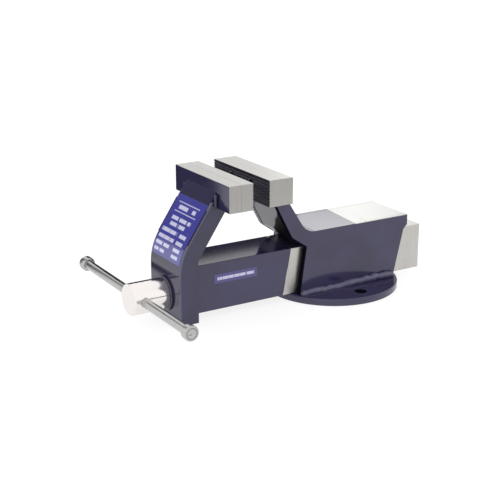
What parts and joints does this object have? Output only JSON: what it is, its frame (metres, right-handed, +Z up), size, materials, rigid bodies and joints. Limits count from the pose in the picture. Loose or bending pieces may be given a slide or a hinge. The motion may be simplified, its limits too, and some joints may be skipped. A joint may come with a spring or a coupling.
{
  "type": "bench vise",
  "caption": "Welded steel bench vise with a round base, box slide, spindle with sliding handle, serrated jaw plates and a ground anvil.",
  "frame": {"origin": "centre of the round base plate's underside, midway between the two bench bolt holes", "axes": "+Z up from the bench, +Y to the rear along the slide, +X to the right of a user who faces +Y at the handle"},
  "size_m": [0.22, 0.3171, 0.131],
  "materials": {
    "enamel": "gloss dark blue enamel",
    "ground_steel": "surface ground",
    "dark_steel": "blackened",
    "nut_iron": "machined and oiled",
    "bush_brass": "turned",
    "bright_chrome": "polished",
    "label_film": "gloss film"
  },
  "bodies": {
    "base": {"base_plate": "enamel", "left_side_plate": "enamel", "right_side_plate": "enamel", "neck_front_web": "enamel", "neck_rear_web": "enamel", "slide_guide": "enamel", "anvil_plate": "ground_steel", "base_welds": "enamel", "nut_block": "nut_iron", "nut_screws": "dark_steel", "fixed_jaw_block": "ground_steel", "fixed_jaw_plate": "ground_steel", "fixed_jaw_screws": "dark_steel"},
    "slide": {"left_slide_web": "enamel", "right_slide_web": "enamel", "slide_top_plate": "enamel", "slide_bottom_strips": "enamel", "arm_front_plate": "enamel", "arm_left_plate": "enamel", "arm_right_plate": "enamel", "arm_rear_plate": "enamel", "spindle_bush": "bush_brass", "moving_jaw_block": "ground_steel", "moving_jaw_plate": "ground_steel", "moving_jaw_screws": "dark_steel", "arm_label": "label_film", "slide_label": "label_film"},
    "spindle": {"spindle": "bright_chrome", "thrust_washer": "ground_steel", "retaining_collar": "ground_steel", "collar_pin": "dark_steel"},
    "handle": {"handle_bar": "bright_chrome", "left_handle_knob": "bright_chrome", "right_handle_knob": "bright_chrome"}
  },
  "joints": [
    {"name": "jaw_slide", "type": "slide", "parent": "base", "child": "slide", "axis": [0, -1, 0], "range_m": [-0.0166, 0.093]},
    {"name": "spindle_turn", "type": "hinge", "parent": "slide", "child": "spindle", "pos_m": [0, -0.19, 0.025], "axis": [0, -1, 0], "range_deg": [-1195, 6695]},
    {"name": "handle_slide", "type": "slide", "parent": "spindle", "child": "handle", "axis": [1, 0, 0], "range_m": [-0.0767, 0.0947]}
  ],
  "couplings": [
    {"joint": "jaw_slide", "follows": "spindle_turn", "m_per_rad": 0.00079577}
  ]
}
